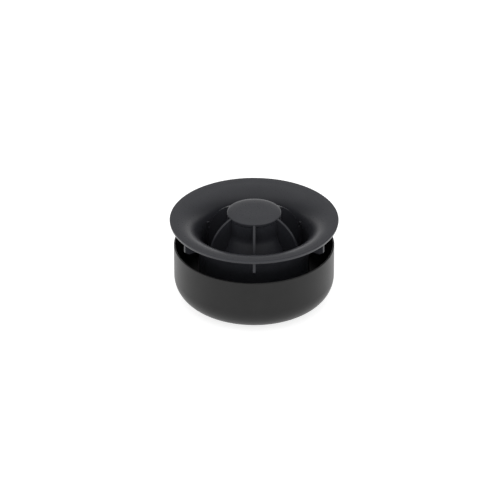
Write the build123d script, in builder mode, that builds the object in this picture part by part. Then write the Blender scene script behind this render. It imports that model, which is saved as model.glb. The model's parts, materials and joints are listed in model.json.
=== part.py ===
from build123d import *
from math import acos, asin, cos, degrees, radians, sin
import os

# Air inlet of a downdraft cooktop extractor. A flanged nozzle with six vanes and a central flow
# body stands on a round grease filter, and the filter stands in an open cup.
# Millimetres, +Z up. The origin is the centre of the cup's underside.

# Cup
cup_r = 85.7
cup_wall = 2.0
cup_corner_r = 25.0
cup_height = 61.7
cup_rim_round = 0.9
boss_r = 10.0
boss_height = 7.0
boss_chamfer = 0.8
pad_count = 3
pad_ring_r = 44.0
pad_width = 4.0
pad_gap = 30.0

# Filter
filter_bottom = 6.0
filter_plate = 2.0
filter_skirt = 3.0
filter_skirt_wall = 1.3
filter_frame_inner_r = 49.0
mesh_wall = 0.8
mesh_gap = 0.2
mesh_inner_r = 51.6
post_count = 6
post_r = 1.8
post_ring_r = 54.25
tenon_r = 1.2
socket_clearance = 0.4
socket_wall = 1.6
socket_depth = 5.0
drain_count = 8
drain_r = 2.5
drain_ring_r = 30.0
filter_screw_r = 1.0
filter_screw_hole_r = 1.2
filter_screw_head_r = 2.0
filter_screw_head_hole_r = 2.2
filter_screw_head = 1.2
filter_screw_length = 8.0
filter_screw_key_r = 0.9
filter_screw_key_depth = 0.7
filter_gasket_height = 1.0
collar_height = 3.8
collar_wall = 1.6
collar_clearance = 0.4
lug_count = 3
lug_width = 2.2
lug_height = 3.4
lug_clearance = 0.3
lug_gasket_clearance = 0.4

# Inlet ring and its seal
tube_bottom = 30.0
throat_r = 57.2
ring_wall = 2.0
flange_r = 90.0
flange_top = 91.8
flare_r = 27.8
lip_depth = 4.7
lip_taper = 2.2
lip_round = 0.6
seal_inner_r = 86.2
seal_outer_r = 87.4
seal_groove = 1.2
seal_proud = 0.6
rib_r = 84.8
rib_bottom = 71.6
rib_chamfer_width = 4.5
rib_chamfer_height = 3.1

# Vanes and the ring that holds them up
vane_count = 6
vane_first_angle = -90.0
vane_thickness = 2.8
vane_inner_r = 9.5
vane_shoulder = 88.0
vane_arc_centre_r = 11.2
vane_arc_centre_z = 59.0
vane_arc_r = 44.0
vane_arc_bottom = 66.0
vane_tab_r = 56.0
vane_round = 0.4
retainer_width = 2.5
retainer_height = 3.0

# Hub
hub_r = 28.6
hub_wall = 2.0
hub_foot_r = 37.2
hub_bell_top = 82.0
hub_bell_r = 13.0
hub_bell_angle = 28.0
hub_bottom = 47.0
hub_top = 96.6
hub_top_plate = 2.5
hub_base_plate = 2.0
hub_base_chamfer = 0.6
carrier_r = 12.0

# Cap and the screw that holds the hub together
cap_r = 28.8
cap_underside_round = 1.2
cap_edge_top = 99.6
cap_shoulder_width = 16.0
cap_shoulder_height = 2.2
cap_vane_gap = 0.1
cap_boss_r = 9.0
cap_boss_clearance = 0.1
cap_gasket_inner_r = 18.0
cap_gasket_outer_r = 20.0
cap_gasket_height = 1.2
insert_r = 4.0
insert_height = 5.0
screw_r = 2.5
screw_hole_r = 2.75
screw_end_gap = 0.5
screw_head_r = 4.75
screw_head = 2.75
screw_head_round = 1.2
screw_key_r = 1.5
screw_key_depth = 1.6
washer_r = 9.0
washer_height = 1.0

# Worked out from the sizes above
cup_inner_r = cup_r - cup_wall
filter_floor = filter_bottom + filter_plate
frame_top = tube_bottom - filter_gasket_height
frame_bottom = frame_top - filter_plate
tube_outer_r = throat_r + ring_wall
filter_r = tube_outer_r
skirt_inner_r = filter_r - filter_skirt_wall
mesh_outer_r = skirt_inner_r - mesh_gap
frame_lip_r = mesh_inner_r - mesh_wall - mesh_gap
retainer_inner_r = throat_r - retainer_width
retainer_top = tube_bottom + retainer_height
collar_r = retainer_inner_r - collar_clearance
lug_inner_r = throat_r + lug_clearance
lug_outer_r = tube_outer_r - lug_clearance
flare_end_r = throat_r + flare_r
flare_start = flange_top - flare_r
flange_underside = flange_top - ring_wall
underside_r = flare_r - ring_wall
lip_bottom = flange_top - lip_depth
rib_arc_r = flare_r - ring_wall / 2
hub_inner_r = hub_r - hub_wall
hub_plate_underside = hub_top - hub_top_plate
hub_bell_turn = hub_bell_r * (1 - cos(radians(hub_bell_angle)))
hub_bell_slope = (hub_foot_r - hub_r - 2 * hub_bell_turn) / sin(radians(hub_bell_angle))
hub_base_bottom = hub_bottom - hub_base_plate
cap_top = cap_edge_top + cap_shoulder_height
insert_top = hub_plate_underside + insert_height
screw_seat = hub_base_bottom - washer_height
sector_angle = 360.0 / vane_count


def radial_plane(angle):
    """The upright plane through the axis at this angle: x runs along the radius, y is up."""
    turn = radians(angle)
    return Plane(
        origin=(0, 0, 0),
        x_dir=(cos(turn), sin(turn), 0),
        z_dir=(sin(turn), -cos(turn), 0),
    )


os.makedirs("parts", exist_ok=True)


# Cup: a round-cornered bowl with a rounded rim, a locating boss and three curved pads
with BuildPart() as cup:
    with BuildSketch(Plane.XZ) as cup_profile:
        with BuildLine():
            Polyline((0, cup_wall), (0, 0), (cup_r - cup_corner_r, 0))
            JernArc((cup_r - cup_corner_r, 0), (1, 0), cup_corner_r, 90)
            Polyline(
                (cup_r, cup_corner_r),
                (cup_r, cup_height),
                (cup_inner_r, cup_height),
                (cup_inner_r, cup_corner_r),
            )
            JernArc((cup_inner_r, cup_corner_r), (0, -1), cup_corner_r - cup_wall, -90)
            Line((cup_r - cup_corner_r, cup_wall), (0, cup_wall))
        make_face()
        fillet(cup_profile.vertices().group_by(Axis.Y)[-1], cup_rim_round)
    revolve(axis=Axis.Z)
    with BuildSketch(Plane.XY.offset(cup_wall)):
        Circle(boss_r)
    extrude(amount=boss_height)
    chamfer(cup.edges(Select.LAST).group_by(Axis.Z)[-1], boss_chamfer)
    with BuildSketch(Plane.XY.offset(cup_wall)):
        Circle(pad_ring_r + pad_width / 2)
        Circle(pad_ring_r - pad_width / 2, mode=Mode.SUBTRACT)
        with PolarLocations(pad_ring_r, pad_count):
            Rectangle(2 * pad_width, pad_gap, mode=Mode.SUBTRACT)
    extrude(amount=filter_bottom - cup_wall)
cup.part.label = "cup"
export_step(cup.part, "parts/cup.step")


# Filter base: a plate with an upturned skirt, a socket for the cup's boss, drains and screw holes
with BuildPart() as filter_base:
    with BuildSketch(Plane.XZ):
        with BuildLine():
            Polyline(
                (boss_r + socket_clearance, filter_bottom),
                (filter_r, filter_bottom),
                (filter_r, filter_floor + filter_skirt),
                (skirt_inner_r, filter_floor + filter_skirt),
                (skirt_inner_r, filter_floor),
                (boss_r + socket_clearance + socket_wall, filter_floor),
                (boss_r + socket_clearance + socket_wall, filter_bottom + socket_depth + socket_wall),
                (0, filter_bottom + socket_depth + socket_wall),
                (0, filter_bottom + socket_depth),
                (boss_r + socket_clearance, filter_bottom + socket_depth),
                close=True,
            )
        make_face()
    revolve(axis=Axis.Z)
    with BuildSketch(Plane.XY.offset(filter_bottom)):
        with PolarLocations(drain_ring_r, drain_count):
            Circle(drain_r)
        with PolarLocations(post_ring_r, post_count):
            Circle(filter_screw_hole_r)
    extrude(amount=filter_plate, mode=Mode.SUBTRACT)
    with BuildSketch(Plane.XY.offset(filter_bottom)):
        with PolarLocations(post_ring_r, post_count):
            Circle(filter_screw_head_hole_r)
    extrude(amount=filter_screw_head, mode=Mode.SUBTRACT)
filter_base.part.label = "filter_base"
export_step(filter_base.part, "parts/filter_base.step")


# Filter top frame: a ring with skirts over the meshes, a collar that centres the nozzle and
# three lugs that stand in the slots of the throat tube
with BuildPart() as filter_top_frame:
    with BuildSketch(Plane.XZ):
        with BuildLine():
            Polyline(
                (filter_frame_inner_r, frame_bottom - filter_skirt),
                (frame_lip_r, frame_bottom - filter_skirt),
                (frame_lip_r, frame_bottom),
                (skirt_inner_r, frame_bottom),
                (skirt_inner_r, frame_bottom - filter_skirt),
                (filter_r, frame_bottom - filter_skirt),
                (filter_r, frame_top),
                (collar_r, frame_top),
                (collar_r, frame_top + collar_height),
                (collar_r - collar_wall, frame_top + collar_height),
                (collar_r - collar_wall, frame_top),
                (filter_frame_inner_r, frame_top),
                close=True,
            )
        make_face()
    revolve(axis=Axis.Z)
    with BuildSketch(Plane.XY.offset(frame_top)):
        with PolarLocations(lug_inner_r, lug_count, start_angle=vane_first_angle):
            Rectangle(lug_outer_r - lug_inner_r, lug_width, align=(Align.MIN, Align.CENTER))
    extrude(amount=lug_height)
    with BuildSketch(Plane.XY.offset(frame_bottom)):
        with PolarLocations(post_ring_r, post_count):
            Circle(tenon_r)
    extrude(amount=filter_plate, mode=Mode.SUBTRACT)
filter_top_frame.part.label = "filter_top_frame"
export_step(filter_top_frame.part, "parts/filter_top_frame.step")


# Filter gasket: the flat seal that the throat tube stands on, notched for the lugs
with BuildPart() as filter_gasket:
    with BuildSketch(Plane.XY.offset(frame_top)):
        Circle(filter_r)
        Circle(collar_r + mesh_gap, mode=Mode.SUBTRACT)
        with PolarLocations(filter_r, lug_count, start_angle=vane_first_angle):
            Rectangle(2 * ring_wall, lug_width + 2 * lug_gasket_clearance, mode=Mode.SUBTRACT)
    extrude(amount=filter_gasket_height)
filter_gasket.part.label = "filter_gasket"
export_step(filter_gasket.part, "parts/filter_gasket.step")


# Filter meshes: two cylinders of expanded metal, shown here as plain thin walls
with BuildPart() as filter_mesh_outer:
    with BuildSketch(Plane.XY.offset(filter_floor)):
        Circle(mesh_outer_r)
        Circle(mesh_outer_r - mesh_wall, mode=Mode.SUBTRACT)
    extrude(amount=frame_bottom - filter_floor)
filter_mesh_outer.part.label = "filter_mesh_outer"
export_step(filter_mesh_outer.part, "parts/filter_mesh_outer.step")

with BuildPart() as filter_mesh_inner:
    with BuildSketch(Plane.XY.offset(filter_floor)):
        Circle(mesh_inner_r)
        Circle(mesh_inner_r - mesh_wall, mode=Mode.SUBTRACT)
    extrude(amount=frame_bottom - filter_floor)
filter_mesh_inner.part.label = "filter_mesh_inner"
export_step(filter_mesh_inner.part, "parts/filter_mesh_inner.step")


# Filter posts: six rods with a tenon in the top frame and a screw hole in the foot
with BuildPart() as filter_posts:
    with BuildSketch(Plane.XY.offset(filter_floor)):
        with PolarLocations(post_ring_r, post_count):
            Circle(post_r)
    extrude(amount=frame_bottom - filter_floor)
    with BuildSketch(Plane.XY.offset(frame_bottom)):
        with PolarLocations(post_ring_r, post_count):
            Circle(tenon_r)
    extrude(amount=filter_plate)
    with BuildSketch(Plane.XY.offset(filter_floor)):
        with PolarLocations(post_ring_r, post_count):
            Circle(filter_screw_r)
    extrude(amount=filter_screw_length, mode=Mode.SUBTRACT)
filter_posts.part.label = "filter_posts"
export_step(filter_posts.part, "parts/filter_posts.step")


# Filter screws: six screws with heads flush in the base
with BuildPart() as filter_screws:
    with BuildSketch(Plane.XY.offset(filter_bottom)):
        with PolarLocations(post_ring_r, post_count):
            Circle(filter_screw_head_r)
    extrude(amount=filter_screw_head)
    with BuildSketch(Plane.XY.offset(filter_bottom + filter_screw_head)):
        with PolarLocations(post_ring_r, post_count):
            Circle(filter_screw_r)
    extrude(amount=filter_screw_length)
    with BuildSketch(Plane.XY.offset(filter_bottom)):
        with PolarLocations(post_ring_r, post_count):
            RegularPolygon(filter_screw_key_r, 6, major_radius=False)
    extrude(amount=filter_screw_key_depth, mode=Mode.SUBTRACT)
filter_screws.part.label = "filter_screws"
export_step(filter_screws.part, "parts/filter_screws.step")


# Inlet ring: the lipped flange, the flare and the throat tube, with a slot for each vane and, above
# each slot, a rib that stiffens the flange from below
rib_bottom_angle = 180.0 - degrees(asin((rib_bottom - flare_start) / rib_arc_r))
rib_top_angle = degrees(acos((rib_r - flare_end_r) / rib_arc_r))
with BuildPart() as inlet_ring:
    with BuildSketch(Plane.XZ) as ring_profile:
        with BuildLine():
            Line((throat_r, tube_bottom), (throat_r, flare_start))
            JernArc((throat_r, flare_start), (0, 1), flare_r, -90)
            lip_curve = EllipticalCenterArc(
                (flange_r - lip_taper, flange_top),
                lip_taper,
                lip_depth,
                start_angle=270,
                arc_size=90,
            )
            Line((flare_end_r, flange_top), lip_curve @ 1)
            Polyline(
                lip_curve @ 0,
                (seal_outer_r, lip_bottom),
                (seal_outer_r, lip_bottom + seal_groove),
                (seal_inner_r, lip_bottom + seal_groove),
                (seal_inner_r, lip_bottom),
                (flare_end_r, lip_bottom),
                (flare_end_r, flange_underside),
            )
            JernArc((flare_end_r, flange_underside), (-1, 0), underside_r, 90)
            Polyline(
                (tube_outer_r, flare_start),
                (tube_outer_r, tube_bottom),
                (throat_r, tube_bottom),
            )
        make_face()
        fillet(ring_profile.vertices().group_by(Axis.X)[-1], lip_round)
    revolve(axis=Axis.Z)
    with BuildSketch(Plane.XY.offset(tube_bottom)):
        with PolarLocations(throat_r, vane_count, start_angle=vane_first_angle):
            Rectangle(4 * ring_wall, vane_thickness)
    extrude(amount=rib_bottom - tube_bottom, mode=Mode.SUBTRACT)
    for number in range(vane_count):
        with BuildSketch(radial_plane(vane_first_angle + number * sector_angle)):
            with BuildLine():
                rib_root = CenterArc(
                    (flare_end_r, flare_start),
                    rib_arc_r,
                    rib_bottom_angle,
                    rib_top_angle - rib_bottom_angle,
                )
                Polyline(
                    rib_root @ 1,
                    (rib_r, rib_bottom + rib_chamfer_height),
                    (rib_r - rib_chamfer_width, rib_bottom),
                    rib_root @ 0,
                )
            make_face()
        extrude(amount=vane_thickness / 2, both=True)
inlet_ring.part.label = "inlet_ring"
export_step(inlet_ring.part, "parts/inlet_ring.step")


# Flange seal: a soft ring in the lip's groove
with BuildPart() as flange_seal:
    with BuildSketch(Plane.XY.offset(lip_bottom - seal_proud)):
        Circle(seal_outer_r)
        Circle(seal_inner_r, mode=Mode.SUBTRACT)
    extrude(amount=seal_groove + seal_proud)
flange_seal.part.label = "flange_seal"
export_step(flange_seal.part, "parts/flange_seal.step")


# Vanes: six plates from the hub to the throat. A tab on each fills its slot in the tube, flush with
# the tube's outside
crest_bottom_angle = degrees(asin((vane_arc_bottom - vane_arc_centre_z) / vane_arc_r))
crest_top_angle = degrees(acos((cap_r + cap_vane_gap - vane_arc_centre_r) / vane_arc_r))
tab_arc_angle = degrees(asin((rib_bottom - flare_start) / underside_r))
for number in range(vane_count):
    with BuildPart() as vane:
        with BuildSketch(radial_plane(vane_first_angle + number * sector_angle)):
            with BuildLine():
                crest = CenterArc(
                    (vane_arc_centre_r, vane_arc_centre_z),
                    vane_arc_r,
                    crest_bottom_angle,
                    crest_top_angle - crest_bottom_angle,
                )
                tab_edge = JernArc((tube_outer_r, flare_start), (0, 1), underside_r, -tab_arc_angle)
                Polyline(
                    tab_edge @ 1,
                    (vane_tab_r, rib_bottom),
                    (vane_tab_r, vane_arc_bottom),
                    crest @ 0,
                )
                Polyline(
                    crest @ 1,
                    (cap_r + cap_vane_gap, hub_top),
                    (hub_r, hub_top),
                    (hub_r, vane_shoulder),
                    (vane_inner_r, vane_shoulder),
                    (vane_inner_r, hub_bottom),
                    (hub_foot_r, hub_bottom),
                    (retainer_inner_r, retainer_top),
                    (tube_outer_r, retainer_top),
                    tab_edge @ 0,
                )
            make_face()
        extrude(amount=vane_thickness / 2, both=True)
        crest_edges = vane.edges().filter_by(GeomType.CIRCLE).sort_by(SortBy.RADIUS)[-2:]
        fillet(crest_edges, vane_round)
    vane.part.label = f"vane_{number + 1}"
    export_step(vane.part, f"parts/vane_{number + 1}.step")


# Vane retainer: the ring inside the tube's foot that the vanes stand on
with BuildPart() as vane_retainer:
    with BuildSketch(Plane.XY.offset(tube_bottom)):
        Circle(throat_r)
        Circle(retainer_inner_r, mode=Mode.SUBTRACT)
    extrude(amount=retainer_height)
vane_retainer.part.label = "vane_retainer"
export_step(vane_retainer.part, "parts/vane_retainer.step")


# Flow body: the bell-shaped hub shell, slotted from below for the vanes. Its wall widens through a
# cone that two equal arcs blend into the upright walls above and below it
with BuildPart() as flow_body:
    with BuildSketch(Plane.XZ):
        with BuildLine():
            outer_bell = JernArc((hub_r, hub_bell_top), (0, -1), hub_bell_r, hub_bell_angle)
            outer_cone = PolarLine(outer_bell @ 1, hub_bell_slope, hub_bell_angle - 90)
            outer_foot = JernArc(outer_cone @ 1, outer_cone % 1, hub_bell_r, -hub_bell_angle)
            inner_bell = JernArc(
                (hub_inner_r, hub_bell_top),
                (0, -1),
                hub_bell_r + hub_wall,
                hub_bell_angle,
            )
            inner_cone = PolarLine(inner_bell @ 1, hub_bell_slope, hub_bell_angle - 90)
            inner_foot = JernArc(
                inner_cone @ 1,
                inner_cone % 1,
                hub_bell_r - hub_wall,
                -hub_bell_angle,
            )
            Polyline(
                outer_foot @ 1,
                (hub_foot_r, hub_bottom),
                (hub_foot_r - hub_wall, hub_bottom),
                inner_foot @ 1,
            )
            Polyline(
                outer_bell @ 0,
                (hub_r, hub_top),
                (cap_boss_r + cap_boss_clearance, hub_top),
                (cap_boss_r + cap_boss_clearance, hub_plate_underside),
                (hub_inner_r, hub_plate_underside),
                inner_bell @ 0,
            )
        make_face()
    revolve(axis=Axis.Z)
    with BuildSketch(Plane.XY.offset(hub_bottom)):
        with PolarLocations(carrier_r, vane_count, start_angle=vane_first_angle):
            Rectangle(hub_foot_r, vane_thickness, align=(Align.MIN, Align.CENTER))
    extrude(amount=vane_shoulder - hub_bottom, mode=Mode.SUBTRACT)
flow_body.part.label = "flow_body"
export_step(flow_body.part, "parts/flow_body.step")


# Vane carrier: the core of the hub, with a groove for each vane's inner edge
with BuildPart() as vane_carrier:
    with BuildSketch(Plane.XY.offset(hub_bottom)):
        Circle(carrier_r)
        Circle(screw_hole_r, mode=Mode.SUBTRACT)
    extrude(amount=hub_plate_underside - hub_bottom)
    with BuildSketch(Plane.XY.offset(hub_bottom)):
        with PolarLocations(vane_inner_r, vane_count, start_angle=vane_first_angle):
            Rectangle(carrier_r, vane_thickness, align=(Align.MIN, Align.CENTER))
    extrude(amount=vane_shoulder - hub_bottom, mode=Mode.SUBTRACT)
vane_carrier.part.label = "vane_carrier"
export_step(vane_carrier.part, "parts/vane_carrier.step")


# Hub base: the plate that closes the bell from below
with BuildPart() as hub_base:
    with BuildSketch(Plane.XY.offset(hub_base_bottom)):
        Circle(hub_foot_r)
        Circle(screw_hole_r, mode=Mode.SUBTRACT)
    extrude(amount=hub_base_plate)
    chamfer(hub_base.edges().group_by(Axis.Z)[0].sort_by(SortBy.RADIUS)[-1], hub_base_chamfer)
hub_base.part.label = "hub_base"
export_step(hub_base.part, "parts/hub_base.step")


# Hub cap: the disc on top, with a boss for the insert and a groove for the gasket
with BuildPart() as hub_cap:
    with BuildSketch(Plane.XZ) as cap_profile:
        with BuildLine():
            shoulder = EllipticalCenterArc(
                (cap_r - cap_shoulder_width, cap_edge_top),
                cap_shoulder_width,
                cap_shoulder_height,
                start_angle=0,
                arc_size=90,
            )
            Polyline(
                shoulder @ 1,
                (0, cap_top),
                (0, insert_top),
                (insert_r, insert_top),
                (insert_r, hub_plate_underside),
                (cap_boss_r, hub_plate_underside),
                (cap_boss_r, hub_top),
                (cap_gasket_inner_r, hub_top),
                (cap_gasket_inner_r, hub_top + cap_gasket_height),
                (cap_gasket_outer_r, hub_top + cap_gasket_height),
                (cap_gasket_outer_r, hub_top),
                (cap_r, hub_top),
                shoulder @ 0,
            )
        make_face()
        underside_corner = cap_profile.vertices().group_by(Axis.X)[-1].sort_by(Axis.Y)[0]
        fillet(underside_corner, cap_underside_round)
    revolve(axis=Axis.Z)
hub_cap.part.label = "hub_cap"
export_step(hub_cap.part, "parts/hub_cap.step")


# Cap gasket: the seal between the cap and the bell
with BuildPart() as cap_gasket:
    with BuildSketch(Plane.XY.offset(hub_top)):
        Circle(cap_gasket_outer_r)
        Circle(cap_gasket_inner_r, mode=Mode.SUBTRACT)
    extrude(amount=cap_gasket_height)
cap_gasket.part.label = "cap_gasket"
export_step(cap_gasket.part, "parts/cap_gasket.step")


# Cap insert: the threaded bush in the cap's boss
with BuildPart() as cap_insert:
    with BuildSketch(Plane.XY.offset(hub_plate_underside)):
        Circle(insert_r)
        Circle(screw_r, mode=Mode.SUBTRACT)
    extrude(amount=insert_height)
cap_insert.part.label = "cap_insert"
export_step(cap_insert.part, "parts/cap_insert.step")


# Clamp screw: up through the base and the carrier into the cap's insert
with BuildPart() as clamp_screw:
    with BuildSketch(Plane.XY.offset(screw_seat)):
        Circle(screw_head_r)
    extrude(amount=-screw_head)
    fillet(clamp_screw.edges().group_by(Axis.Z)[0], screw_head_round)
    with BuildSketch(Plane.XY.offset(screw_seat)):
        Circle(screw_r)
    extrude(amount=insert_top - screw_end_gap - screw_seat)
    with BuildSketch(Plane.XY.offset(screw_seat - screw_head)):
        RegularPolygon(screw_key_r, 6, major_radius=False)
    extrude(amount=screw_key_depth, mode=Mode.SUBTRACT)
clamp_screw.part.label = "clamp_screw"
export_step(clamp_screw.part, "parts/clamp_screw.step")


# Clamp washer: between the screw's head and the hub base
with BuildPart() as clamp_washer:
    with BuildSketch(Plane.XY.offset(screw_seat)):
        Circle(washer_r)
        Circle(screw_hole_r, mode=Mode.SUBTRACT)
    extrude(amount=washer_height)
clamp_washer.part.label = "clamp_washer"
export_step(clamp_washer.part, "parts/clamp_washer.step")
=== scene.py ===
import json
import math

import bmesh
import bpy
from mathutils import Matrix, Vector


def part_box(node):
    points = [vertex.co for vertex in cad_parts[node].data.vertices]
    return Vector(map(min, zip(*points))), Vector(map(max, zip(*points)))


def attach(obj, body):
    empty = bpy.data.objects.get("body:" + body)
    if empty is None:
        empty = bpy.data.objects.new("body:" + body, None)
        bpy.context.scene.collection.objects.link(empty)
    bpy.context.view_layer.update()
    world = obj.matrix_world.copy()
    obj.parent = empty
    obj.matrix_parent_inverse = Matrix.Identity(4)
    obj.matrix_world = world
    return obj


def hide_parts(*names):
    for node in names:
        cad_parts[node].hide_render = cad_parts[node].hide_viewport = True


# Air inlet of a downdraft cooktop extractor: nozzle, grease filter and cup. Metres, +Z up.

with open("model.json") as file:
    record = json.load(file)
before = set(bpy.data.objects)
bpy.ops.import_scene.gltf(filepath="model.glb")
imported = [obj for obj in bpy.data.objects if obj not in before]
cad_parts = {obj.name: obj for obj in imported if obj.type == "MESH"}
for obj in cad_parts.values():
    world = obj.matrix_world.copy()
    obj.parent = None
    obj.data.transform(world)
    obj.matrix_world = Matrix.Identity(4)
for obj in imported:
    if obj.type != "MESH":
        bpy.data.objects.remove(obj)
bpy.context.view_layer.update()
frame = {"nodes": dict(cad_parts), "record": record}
nodes = frame["nodes"]

MM = 0.001


# ---------------------------------------------------------------- camera

CAMERA_ELEVATION = math.radians(30.0)
CAMERA_DISTANCE = 4.256
CAMERA_RIGHT = -0.0044
CAMERA_UP = -0.0335
CAMERA_REACH = 100.0
LENS = 288.0
SENSOR = 36.0


def make_camera():
    """A long lens looking along +Y and down at the nozzle, aimed a little below the flange."""
    flange_centre = Vector((0, 0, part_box("inlet_ring")[1].z))
    back = Vector((0, -math.cos(CAMERA_ELEVATION), math.sin(CAMERA_ELEVATION)))
    up = Vector((0, math.sin(CAMERA_ELEVATION), math.cos(CAMERA_ELEVATION)))
    right = Vector((1, 0, 0))
    data = bpy.data.cameras.new("camera")
    data.lens = LENS
    data.sensor_width = SENSOR
    data.clip_end = CAMERA_REACH
    camera = bpy.data.objects.new("camera", data)
    bpy.context.scene.collection.objects.link(camera)
    camera.location = (
        flange_centre + back * CAMERA_DISTANCE + right * CAMERA_RIGHT + up * CAMERA_UP
    )
    camera.rotation_mode = "QUATERNION"
    camera.rotation_quaternion = (-back).to_track_quat("-Z", "Y")
    bpy.context.scene.camera = camera


make_camera()


# ---------------------------------------------------------------- node helpers

NOISE_RANGE = (0.3, 0.7)


def new_material(name):
    """A material, its node tree, and the Principled shader in it."""
    material = bpy.data.materials.new(name)
    material.use_nodes = True
    tree = material.node_tree
    return material, tree, tree.nodes["Principled BSDF"]


def noise(tree, coords, scale, detail=4.0, roughness=0.55):
    """Procedural noise, with scale cells to each metre of coords."""
    node = tree.nodes.new("ShaderNodeTexNoise")
    node.inputs["Scale"].default_value = scale
    node.inputs["Detail"].default_value = detail
    node.inputs["Roughness"].default_value = roughness
    tree.links.new(coords, node.inputs["Vector"])
    return node.outputs["Fac"]


def map_range(tree, value, source, target, interpolation="LINEAR"):
    """A value in the source range, brought to the target range and held inside it."""
    node = tree.nodes.new("ShaderNodeMapRange")
    node.interpolation_type = interpolation
    node.inputs["From Min"].default_value = source[0]
    node.inputs["From Max"].default_value = source[1]
    node.inputs["To Min"].default_value = target[0]
    node.inputs["To Max"].default_value = target[1]
    tree.links.new(value, node.inputs["Value"])
    return node.outputs["Result"]


def spread(tree, value, low, high):
    """Noise, which lies mostly in NOISE_RANGE, spread over the range low to high."""
    return map_range(tree, value, NOISE_RANGE, (low, high))


def bump(tree, height, distance, below=None):
    """A bump of that many metres, on top of the one below it, if there is one."""
    node = tree.nodes.new("ShaderNodeBump")
    node.inputs["Distance"].default_value = distance
    tree.links.new(height, node.inputs["Height"])
    if below is not None:
        tree.links.new(below, node.inputs["Normal"])
    return node.outputs["Normal"]


def two_tone(tree, factor, dark, light):
    """A colour between dark and light."""
    node = tree.nodes.new("ShaderNodeMix")
    node.data_type = "RGBA"
    node.inputs["A"].default_value = (*dark, 1.0)
    node.inputs["B"].default_value = (*light, 1.0)
    tree.links.new(factor, node.inputs["Factor"])
    return node.outputs["Result"]


def object_coords(tree):
    """The piece's own coordinates, which move with it."""
    return tree.nodes.new("ShaderNodeTexCoord").outputs["Object"]


# ---------------------------------------------------------------- materials

GRAIN_SCALE = 2600.0
SPECK_SCALE = 900.0
BLOTCH_SCALE = 55.0
DUST_SCALE = 420.0
PATCH_SCALE = 60.0
GRAIN_DEPTH = 0.018 * MM
BLOTCH_DEPTH = 0.03 * MM
DUST_DEPTH = 0.03 * MM
PLASTIC_ROUGHNESS_SPREAD = 0.03
METAL_ROUGHNESS_SPREAD = 0.07
SILICONE_DARK = (0.012, 0.012, 0.013)
SILICONE_LIGHT = (0.022, 0.022, 0.023)
SILICONE_ROUGHNESS = (0.55, 0.72)
SILICONE_GLOSS = 0.35


def moulded_plastic(name, dark, light, gloss, roughness):
    """Spark-eroded satin plastic: a fine even grain, faint broad changes in tone, and small specks
    of more or less gloss."""
    material, tree, shader = new_material(name)
    coords = object_coords(tree)
    grain = noise(tree, coords, GRAIN_SCALE, detail=5.0, roughness=0.62)
    blotch = noise(tree, coords, BLOTCH_SCALE, detail=3.0)
    speck = noise(tree, coords, SPECK_SCALE, detail=2.0)
    tone = two_tone(tree, spread(tree, blotch, 0.0, 1.0), dark, light)
    tree.links.new(tone, shader.inputs["Base Color"])
    dullest = roughness + PLASTIC_ROUGHNESS_SPREAD
    glossiest = roughness - PLASTIC_ROUGHNESS_SPREAD
    tree.links.new(spread(tree, speck, glossiest, dullest), shader.inputs["Roughness"])
    broad = bump(tree, blotch, BLOTCH_DEPTH)
    tree.links.new(bump(tree, grain, GRAIN_DEPTH, broad), shader.inputs["Normal"])
    shader.inputs["Specular IOR Level"].default_value = gloss
    return material


def soft_silicone(name):
    """Matt silicone with a dusty, slightly uneven surface."""
    material, tree, shader = new_material(name)
    coords = object_coords(tree)
    dust = noise(tree, coords, DUST_SCALE, detail=5.0)
    tone = two_tone(tree, spread(tree, dust, 0.0, 1.0), SILICONE_DARK, SILICONE_LIGHT)
    tree.links.new(tone, shader.inputs["Base Color"])
    tree.links.new(spread(tree, dust, *SILICONE_ROUGHNESS), shader.inputs["Roughness"])
    tree.links.new(bump(tree, dust, DUST_DEPTH), shader.inputs["Normal"])
    shader.inputs["Specular IOR Level"].default_value = SILICONE_GLOSS
    return material


def metal(name, dark, light, roughness, grain_scale, grain_depth, stretch=(1.0, 1.0, 1.0)):
    """Metal with a fine grain, which stretch can give a direction, and patches of another tone."""
    material, tree, shader = new_material(name)
    coords = object_coords(tree)
    mapping = tree.nodes.new("ShaderNodeMapping")
    mapping.inputs["Scale"].default_value = stretch
    tree.links.new(coords, mapping.inputs["Vector"])
    grain = noise(tree, mapping.outputs["Vector"], grain_scale)
    patch = noise(tree, coords, PATCH_SCALE, detail=3.0)
    tone = two_tone(tree, spread(tree, patch, 0.0, 1.0), dark, light)
    tree.links.new(tone, shader.inputs["Base Color"])
    dullest = roughness + METAL_ROUGHNESS_SPREAD
    glossiest = roughness - METAL_ROUGHNESS_SPREAD
    tree.links.new(spread(tree, grain, glossiest, dullest), shader.inputs["Roughness"])
    tree.links.new(bump(tree, grain, grain_depth), shader.inputs["Normal"])
    shader.inputs["Metallic"].default_value = 1.0
    return material


NOZZLE_PLASTIC = moulded_plastic(
    "nozzle_plastic",
    dark=(0.0262, 0.0270, 0.0322),
    light=(0.0298, 0.0308, 0.0366),
    gloss=0.28,
    roughness=0.30,
)
CUP_PLASTIC = moulded_plastic(
    "cup_plastic",
    dark=(0.0108, 0.0108, 0.0108),
    light=(0.0130, 0.0130, 0.0130),
    gloss=0.26,
    roughness=0.38,
)
SILICONE = soft_silicone("silicone")
MESH_STEEL = metal(
    "mesh_steel",
    dark=(0.42, 0.42, 0.42),
    light=(0.55, 0.55, 0.54),
    roughness=0.34,
    grain_scale=1500.0,
    grain_depth=0.010 * MM,
)
FRAME_STEEL = metal(
    "frame_steel",
    dark=(0.45, 0.45, 0.45),
    light=(0.56, 0.56, 0.55),
    roughness=0.30,
    grain_scale=900.0,
    grain_depth=0.010 * MM,
    stretch=(1.0, 1.0, 14.0),
)
BRIGHT_STEEL = metal(
    "bright_steel",
    dark=(0.52, 0.52, 0.52),
    light=(0.62, 0.62, 0.61),
    roughness=0.24,
    grain_scale=1800.0,
    grain_depth=0.006 * MM,
)
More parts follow.
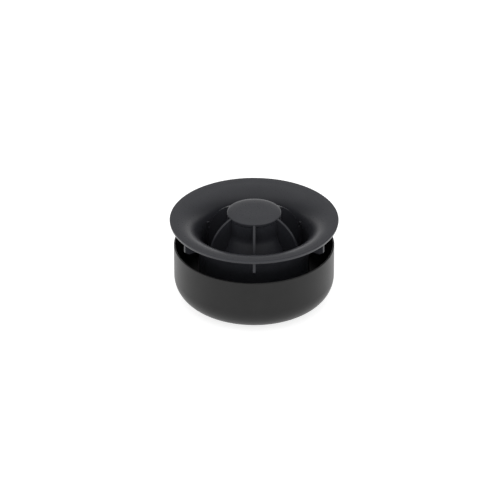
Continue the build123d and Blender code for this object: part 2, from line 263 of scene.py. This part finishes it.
BRASS = metal(
    "insert_brass",
    dark=(0.55, 0.38, 0.14),
    light=(0.68, 0.48, 0.19),
    roughness=0.28,
    grain_scale=1800.0,
    grain_depth=0.006 * MM,
)

BY_SLOT = {
    "nozzle_plastic": NOZZLE_PLASTIC,
    "cup_plastic": CUP_PLASTIC,
    "silicone": SILICONE,
    "mesh_steel": MESH_STEEL,
    "frame_steel": FRAME_STEEL,
    "bright_steel": BRIGHT_STEEL,
    "insert_brass": BRASS,
}


def paint(piece, material):
    """Give the piece this one material."""
    piece.data.materials.clear()
    piece.data.materials.append(material)


for entry in frame["record"]["subparts"]:
    paint(nodes[entry["node"]], BY_SLOT[entry["material_slot"]])


# ---------------------------------------------------------------- expanded-metal meshes

DIAMOND_WIDTH = 6.0 * MM
DIAMOND_HEIGHT = 3.3 * MM
STRAND = 0.7 * MM
# The strands' middle lies this far inside the wall's outer face.
STRAND_INSET = 0.6 * STRAND


def expanded_metal(name, node, body):
    """A cylinder of expanded metal in the place of the plain wall: a grid of diamonds, whose edges
    become strands."""
    low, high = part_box(node)
    radius = high.x - STRAND_INSET
    columns = round(2 * math.pi * radius / DIAMOND_WIDTH)
    rows = round((high.z - low.z) / DIAMOND_HEIGHT)
    mesh = bmesh.new()
    grid = {}
    for row in range(2 * rows + 1):
        z = low.z + STRAND / 2 + (high.z - low.z - STRAND) * row / (2 * rows)
        for column in range(row % 2, 2 * columns, 2):
            angle = math.pi * column / columns
            grid[row, column] = mesh.verts.new(
                (radius * math.cos(angle), radius * math.sin(angle), z)
            )

    def corner(row, column):
        return grid[row, column % (2 * columns)]

    for row in range(2 * rows - 1):
        for column in range(row % 2, 2 * columns, 2):
            mesh.faces.new(
                (
                    corner(row, column),
                    corner(row + 1, column + 1),
                    corner(row + 2, column),
                    corner(row + 1, column - 1),
                )
            )
    for row, step in ((0, 1), (2 * rows, -1)):
        for column in range(0, 2 * columns, 2):
            mesh.faces.new(
                (corner(row, column), corner(row, column + 2), corner(row + step, column + 1))
            )
    data = bpy.data.meshes.new(name)
    mesh.to_mesh(data)
    mesh.free()
    piece = bpy.data.objects.new(name, data)
    bpy.context.scene.collection.objects.link(piece)
    strands = piece.modifiers.new("strands", "WIREFRAME")
    strands.thickness = STRAND
    strands.use_even_offset = True
    paint(piece, MESH_STEEL)
    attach(piece, body)
    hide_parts(node)


expanded_metal("outer_mesh", "filter_mesh_outer", "filter")
expanded_metal("inner_mesh", "filter_mesh_inner", "filter")


# ---------------------------------------------------------------- floor and light

FLOOR_SIZE = 60.0
FLOOR_GREY = 0.50
FLOOR_ROUGHNESS = 0.9
FLOOR_LIGHT = 0.80

# Where the light changes, as the sine of the elevation.
WALL_TOP = 0.50
CEILING = 0.88
GLOW_TOP = 0.32

# Strengths of the light.
WALL_LIGHT = 0.48
CEILING_LIGHT = 1.25
GLOW_LIGHT = 1.0


def make_floor():
    """A plain white floor that runs past the view on every side."""
    data = bpy.data.meshes.new("floor")
    mesh = bmesh.new()
    bmesh.ops.create_grid(mesh, x_segments=1, y_segments=1, size=FLOOR_SIZE / 2)
    mesh.to_mesh(data)
    mesh.free()
    floor = bpy.data.objects.new("floor", data)
    bpy.context.scene.collection.objects.link(floor)
    material, _, shader = new_material("floor_white")
    shader.inputs["Base Color"].default_value = (FLOOR_GREY, FLOOR_GREY, FLOOR_GREY, 1.0)
    shader.inputs["Roughness"].default_value = FLOOR_ROUGHNESS
    shader.inputs["Specular IOR Level"].default_value = 0.0
    shader.inputs["Emission Color"].default_value = (1.0, 1.0, 1.0, 1.0)
    shader.inputs["Emission Strength"].default_value = FLOOR_LIGHT
    paint(floor, material)


def make_world():
    """Soft studio light: bright overhead, dimmer on the walls, with a glow where they meet the
    floor."""
    world = bpy.data.worlds.new("studio")
    world.use_nodes = True
    tree = world.node_tree
    direction = tree.nodes.new("ShaderNodeTexCoord").outputs["Generated"]
    height = tree.nodes.new("ShaderNodeSeparateXYZ")
    tree.links.new(direction, height.inputs["Vector"])
    base = map_range(
        tree,
        height.outputs["Z"],
        (WALL_TOP, CEILING),
        (WALL_LIGHT, CEILING_LIGHT),
        "SMOOTHSTEP",
    )
    glow = map_range(tree, height.outputs["Z"], (0.0, GLOW_TOP), (GLOW_LIGHT, 0.0), "SMOOTHSTEP")
    total = tree.nodes.new("ShaderNodeMath")
    total.operation = "ADD"
    tree.links.new(base, total.inputs[0])
    tree.links.new(glow, total.inputs[1])
    background = tree.nodes["Background"]
    background.inputs["Color"].default_value = (1.0, 1.0, 1.0, 1.0)
    tree.links.new(total.outputs["Value"], background.inputs["Strength"])
    bpy.context.scene.world = world


make_floor()
make_world()
bpy.context.scene.view_settings.view_transform = "Standard"
